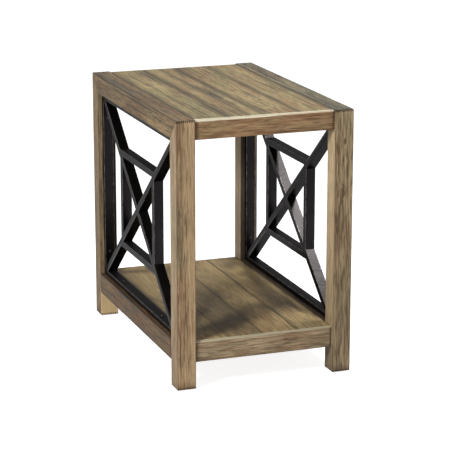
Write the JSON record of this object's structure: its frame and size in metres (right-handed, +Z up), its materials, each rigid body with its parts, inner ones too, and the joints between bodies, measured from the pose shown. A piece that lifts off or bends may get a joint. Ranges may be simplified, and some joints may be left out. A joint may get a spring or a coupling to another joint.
{
  "type": "rustic end table",
  "caption": "Rectangular rustic end table: boarded top and shelf on square legs, waterfall mitred side rails, dark metal lattice panel in each side.",
  "frame": {"origin": "on the floor, at the middle of the footprint", "axes": "+Z up, +X to the right across the lattice panels, +Y to the back; the boards run along Y"},
  "size_m": [0.422, 0.652, 0.621],
  "materials": {
    "leg_wood": "wire-brushed stained hickory, matt, with darker arrises",
    "rail_wood": "wire-brushed stained hickory, matt, greyer on top",
    "apron_wood": "wire-brushed stained hickory, matt",
    "top_board": "wire-brushed stained hickory, low sheen, with dark glaze in the joints",
    "shelf_board": "wire-brushed stained hickory, low sheen, with dark blotches",
    "inner_wood": "plain sanded hardwood",
    "blackened_steel": "blackened, satin, slightly uneven",
    "black_screw": "blackened steel",
    "zinc_screw": "zinc-plated steel",
    "glide": "matt nylon"
  },
  "bodies": {
    "root": {"apron_back": "apron_wood", "apron_front": "apron_wood", "cleat_screws": "zinc_screw", "foot_glides": "glide", "left_box_back": "blackened_steel", "left_box_bottom": "blackened_steel", "left_box_front": "blackened_steel", "left_box_top": "blackened_steel", "left_cross_lower": "blackened_steel", "left_cross_upper": "blackened_steel", "left_cross_whole": "blackened_steel", "left_frame_back": "blackened_steel", "left_frame_bottom": "blackened_steel", "left_frame_front": "blackened_steel", "left_frame_top": "blackened_steel", "left_strut_bottom_back": "blackened_steel", "left_strut_bottom_front": "blackened_steel", "left_strut_top_back": "blackened_steel", "left_strut_top_front": "blackened_steel", "leg_back_left": "leg_wood", "leg_back_right": "leg_wood", "leg_front_left": "leg_wood", "leg_front_right": "leg_wood", "low_rail_left": "rail_wood", "low_rail_right": "rail_wood", "mitre_keys": "inner_wood", "panel_screws": "black_screw", "plank_splines": "inner_wood", "right_box_back": "blackened_steel", "right_box_bottom": "blackened_steel", "right_box_front": "blackened_steel", "right_box_top": "blackened_steel", "right_cross_lower": "blackened_steel", "right_cross_upper": "blackened_steel", "right_cross_whole": "blackened_steel", "right_frame_back": "blackened_steel", "right_frame_bottom": "blackened_steel", "right_frame_front": "blackened_steel", "right_frame_top": "blackened_steel", "right_strut_bottom_back": "blackened_steel", "right_strut_bottom_front": "blackened_steel", "right_strut_top_back": "blackened_steel", "right_strut_top_front": "blackened_steel", "shelf_cleat_back": "inner_wood", "shelf_cleat_front": "inner_wood", "shelf_plank_1": "shelf_board", "shelf_plank_2": "shelf_board", "shelf_plank_3": "shelf_board", "shelf_plank_4": "shelf_board", "shelf_rail_back": "apron_wood", "shelf_rail_front": "apron_wood", "top_cleat_back": "inner_wood", "top_cleat_front": "inner_wood", "top_plank_1": "top_board", "top_plank_2": "top_board", "top_plank_3": "top_board", "top_plank_4": "top_board", "top_rail_left": "rail_wood", "top_rail_right": "rail_wood"}
  },
  "joints": []
}
